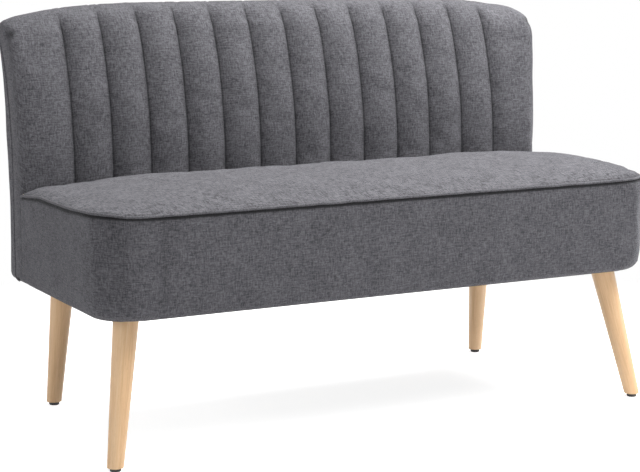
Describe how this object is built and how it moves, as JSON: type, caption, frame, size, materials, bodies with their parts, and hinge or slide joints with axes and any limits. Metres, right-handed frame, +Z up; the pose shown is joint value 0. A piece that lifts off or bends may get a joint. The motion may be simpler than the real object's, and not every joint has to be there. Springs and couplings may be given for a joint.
{
  "type": "two-seater sofa",
  "caption": "Armless two-seater sofa with a piped, crowned seat, a low back sewn in upright channels and splayed round wooden legs.",
  "frame": {"origin": "on the floor under the middle of the overall box", "axes": "+Z up, the sofa faces -Y, and +X runs along its width, to the right of a viewer who faces its front"},
  "size_m": [1.17, 0.5462, 0.7829],
  "materials": {
    "cover_cloth": "matt melange weave",
    "piping_cloth": "matt bias-cut weave",
    "dust_cloth": "thin non-woven cloth",
    "webbing": "woven elastic webbing",
    "platform_cloth": "non-woven cloth",
    "foam": "open-cell seating foam",
    "wadding": "soft polyester wadding",
    "zinc_steel": "zinc plated",
    "leg_wood": "clear matt lacquer",
    "glide_plastic": "matt black",
    "board": "plain fibreboard",
    "frame_wood": "sawn softwood"
  },
  "bodies": {
    "root": {"back_bolt_nuts": "zinc_steel", "back_bolt_rail": "frame_wood", "back_bolt_washers": "zinc_steel", "back_bolts": "zinc_steel", "back_bottom_rail": "frame_wood", "back_centre_stud": "frame_wood", "back_channel_cover": "cover_cloth", "back_dust_cover": "dust_cloth", "back_foam": "foam", "back_foot_rail": "frame_wood", "back_front_board": "board", "back_left_pad": "wadding", "back_left_post": "frame_wood", "back_lumbar_rail": "frame_wood", "back_outer_cover": "cover_cloth", "back_piping": "piping_cloth", "back_rear_board": "board", "back_right_pad": "wadding", "back_right_post": "frame_wood", "back_top_rail": "frame_wood", "glide_front_left": "glide_plastic", "glide_front_right": "glide_plastic", "glide_nails": "zinc_steel", "glide_rear_left": "glide_plastic", "glide_rear_right": "glide_plastic", "leg_bolt_nuts": "zinc_steel", "leg_bolts": "zinc_steel", "leg_front_left": "leg_wood", "leg_front_right": "leg_wood", "leg_rear_left": "leg_wood", "leg_rear_right": "leg_wood", "seat_border_cover": "cover_cloth", "seat_centre_brace": "frame_wood", "seat_cross_webbing": "webbing", "seat_dust_cover": "dust_cloth", "seat_foam": "foam", "seat_front_pad": "wadding", "seat_front_rail": "frame_wood", "seat_left_corner_block": "frame_wood", "seat_left_corner_pad": "wadding", "seat_left_pad": "wadding", "seat_left_rail": "frame_wood", "seat_piping": "piping_cloth", "seat_platform_cloth": "platform_cloth", "seat_rear_rail": "frame_wood", "seat_right_corner_block": "frame_wood", "seat_right_corner_pad": "wadding", "seat_right_pad": "wadding", "seat_right_rail": "frame_wood", "seat_top_cover": "cover_cloth", "seat_webbing": "webbing"}
  },
  "joints": []
}
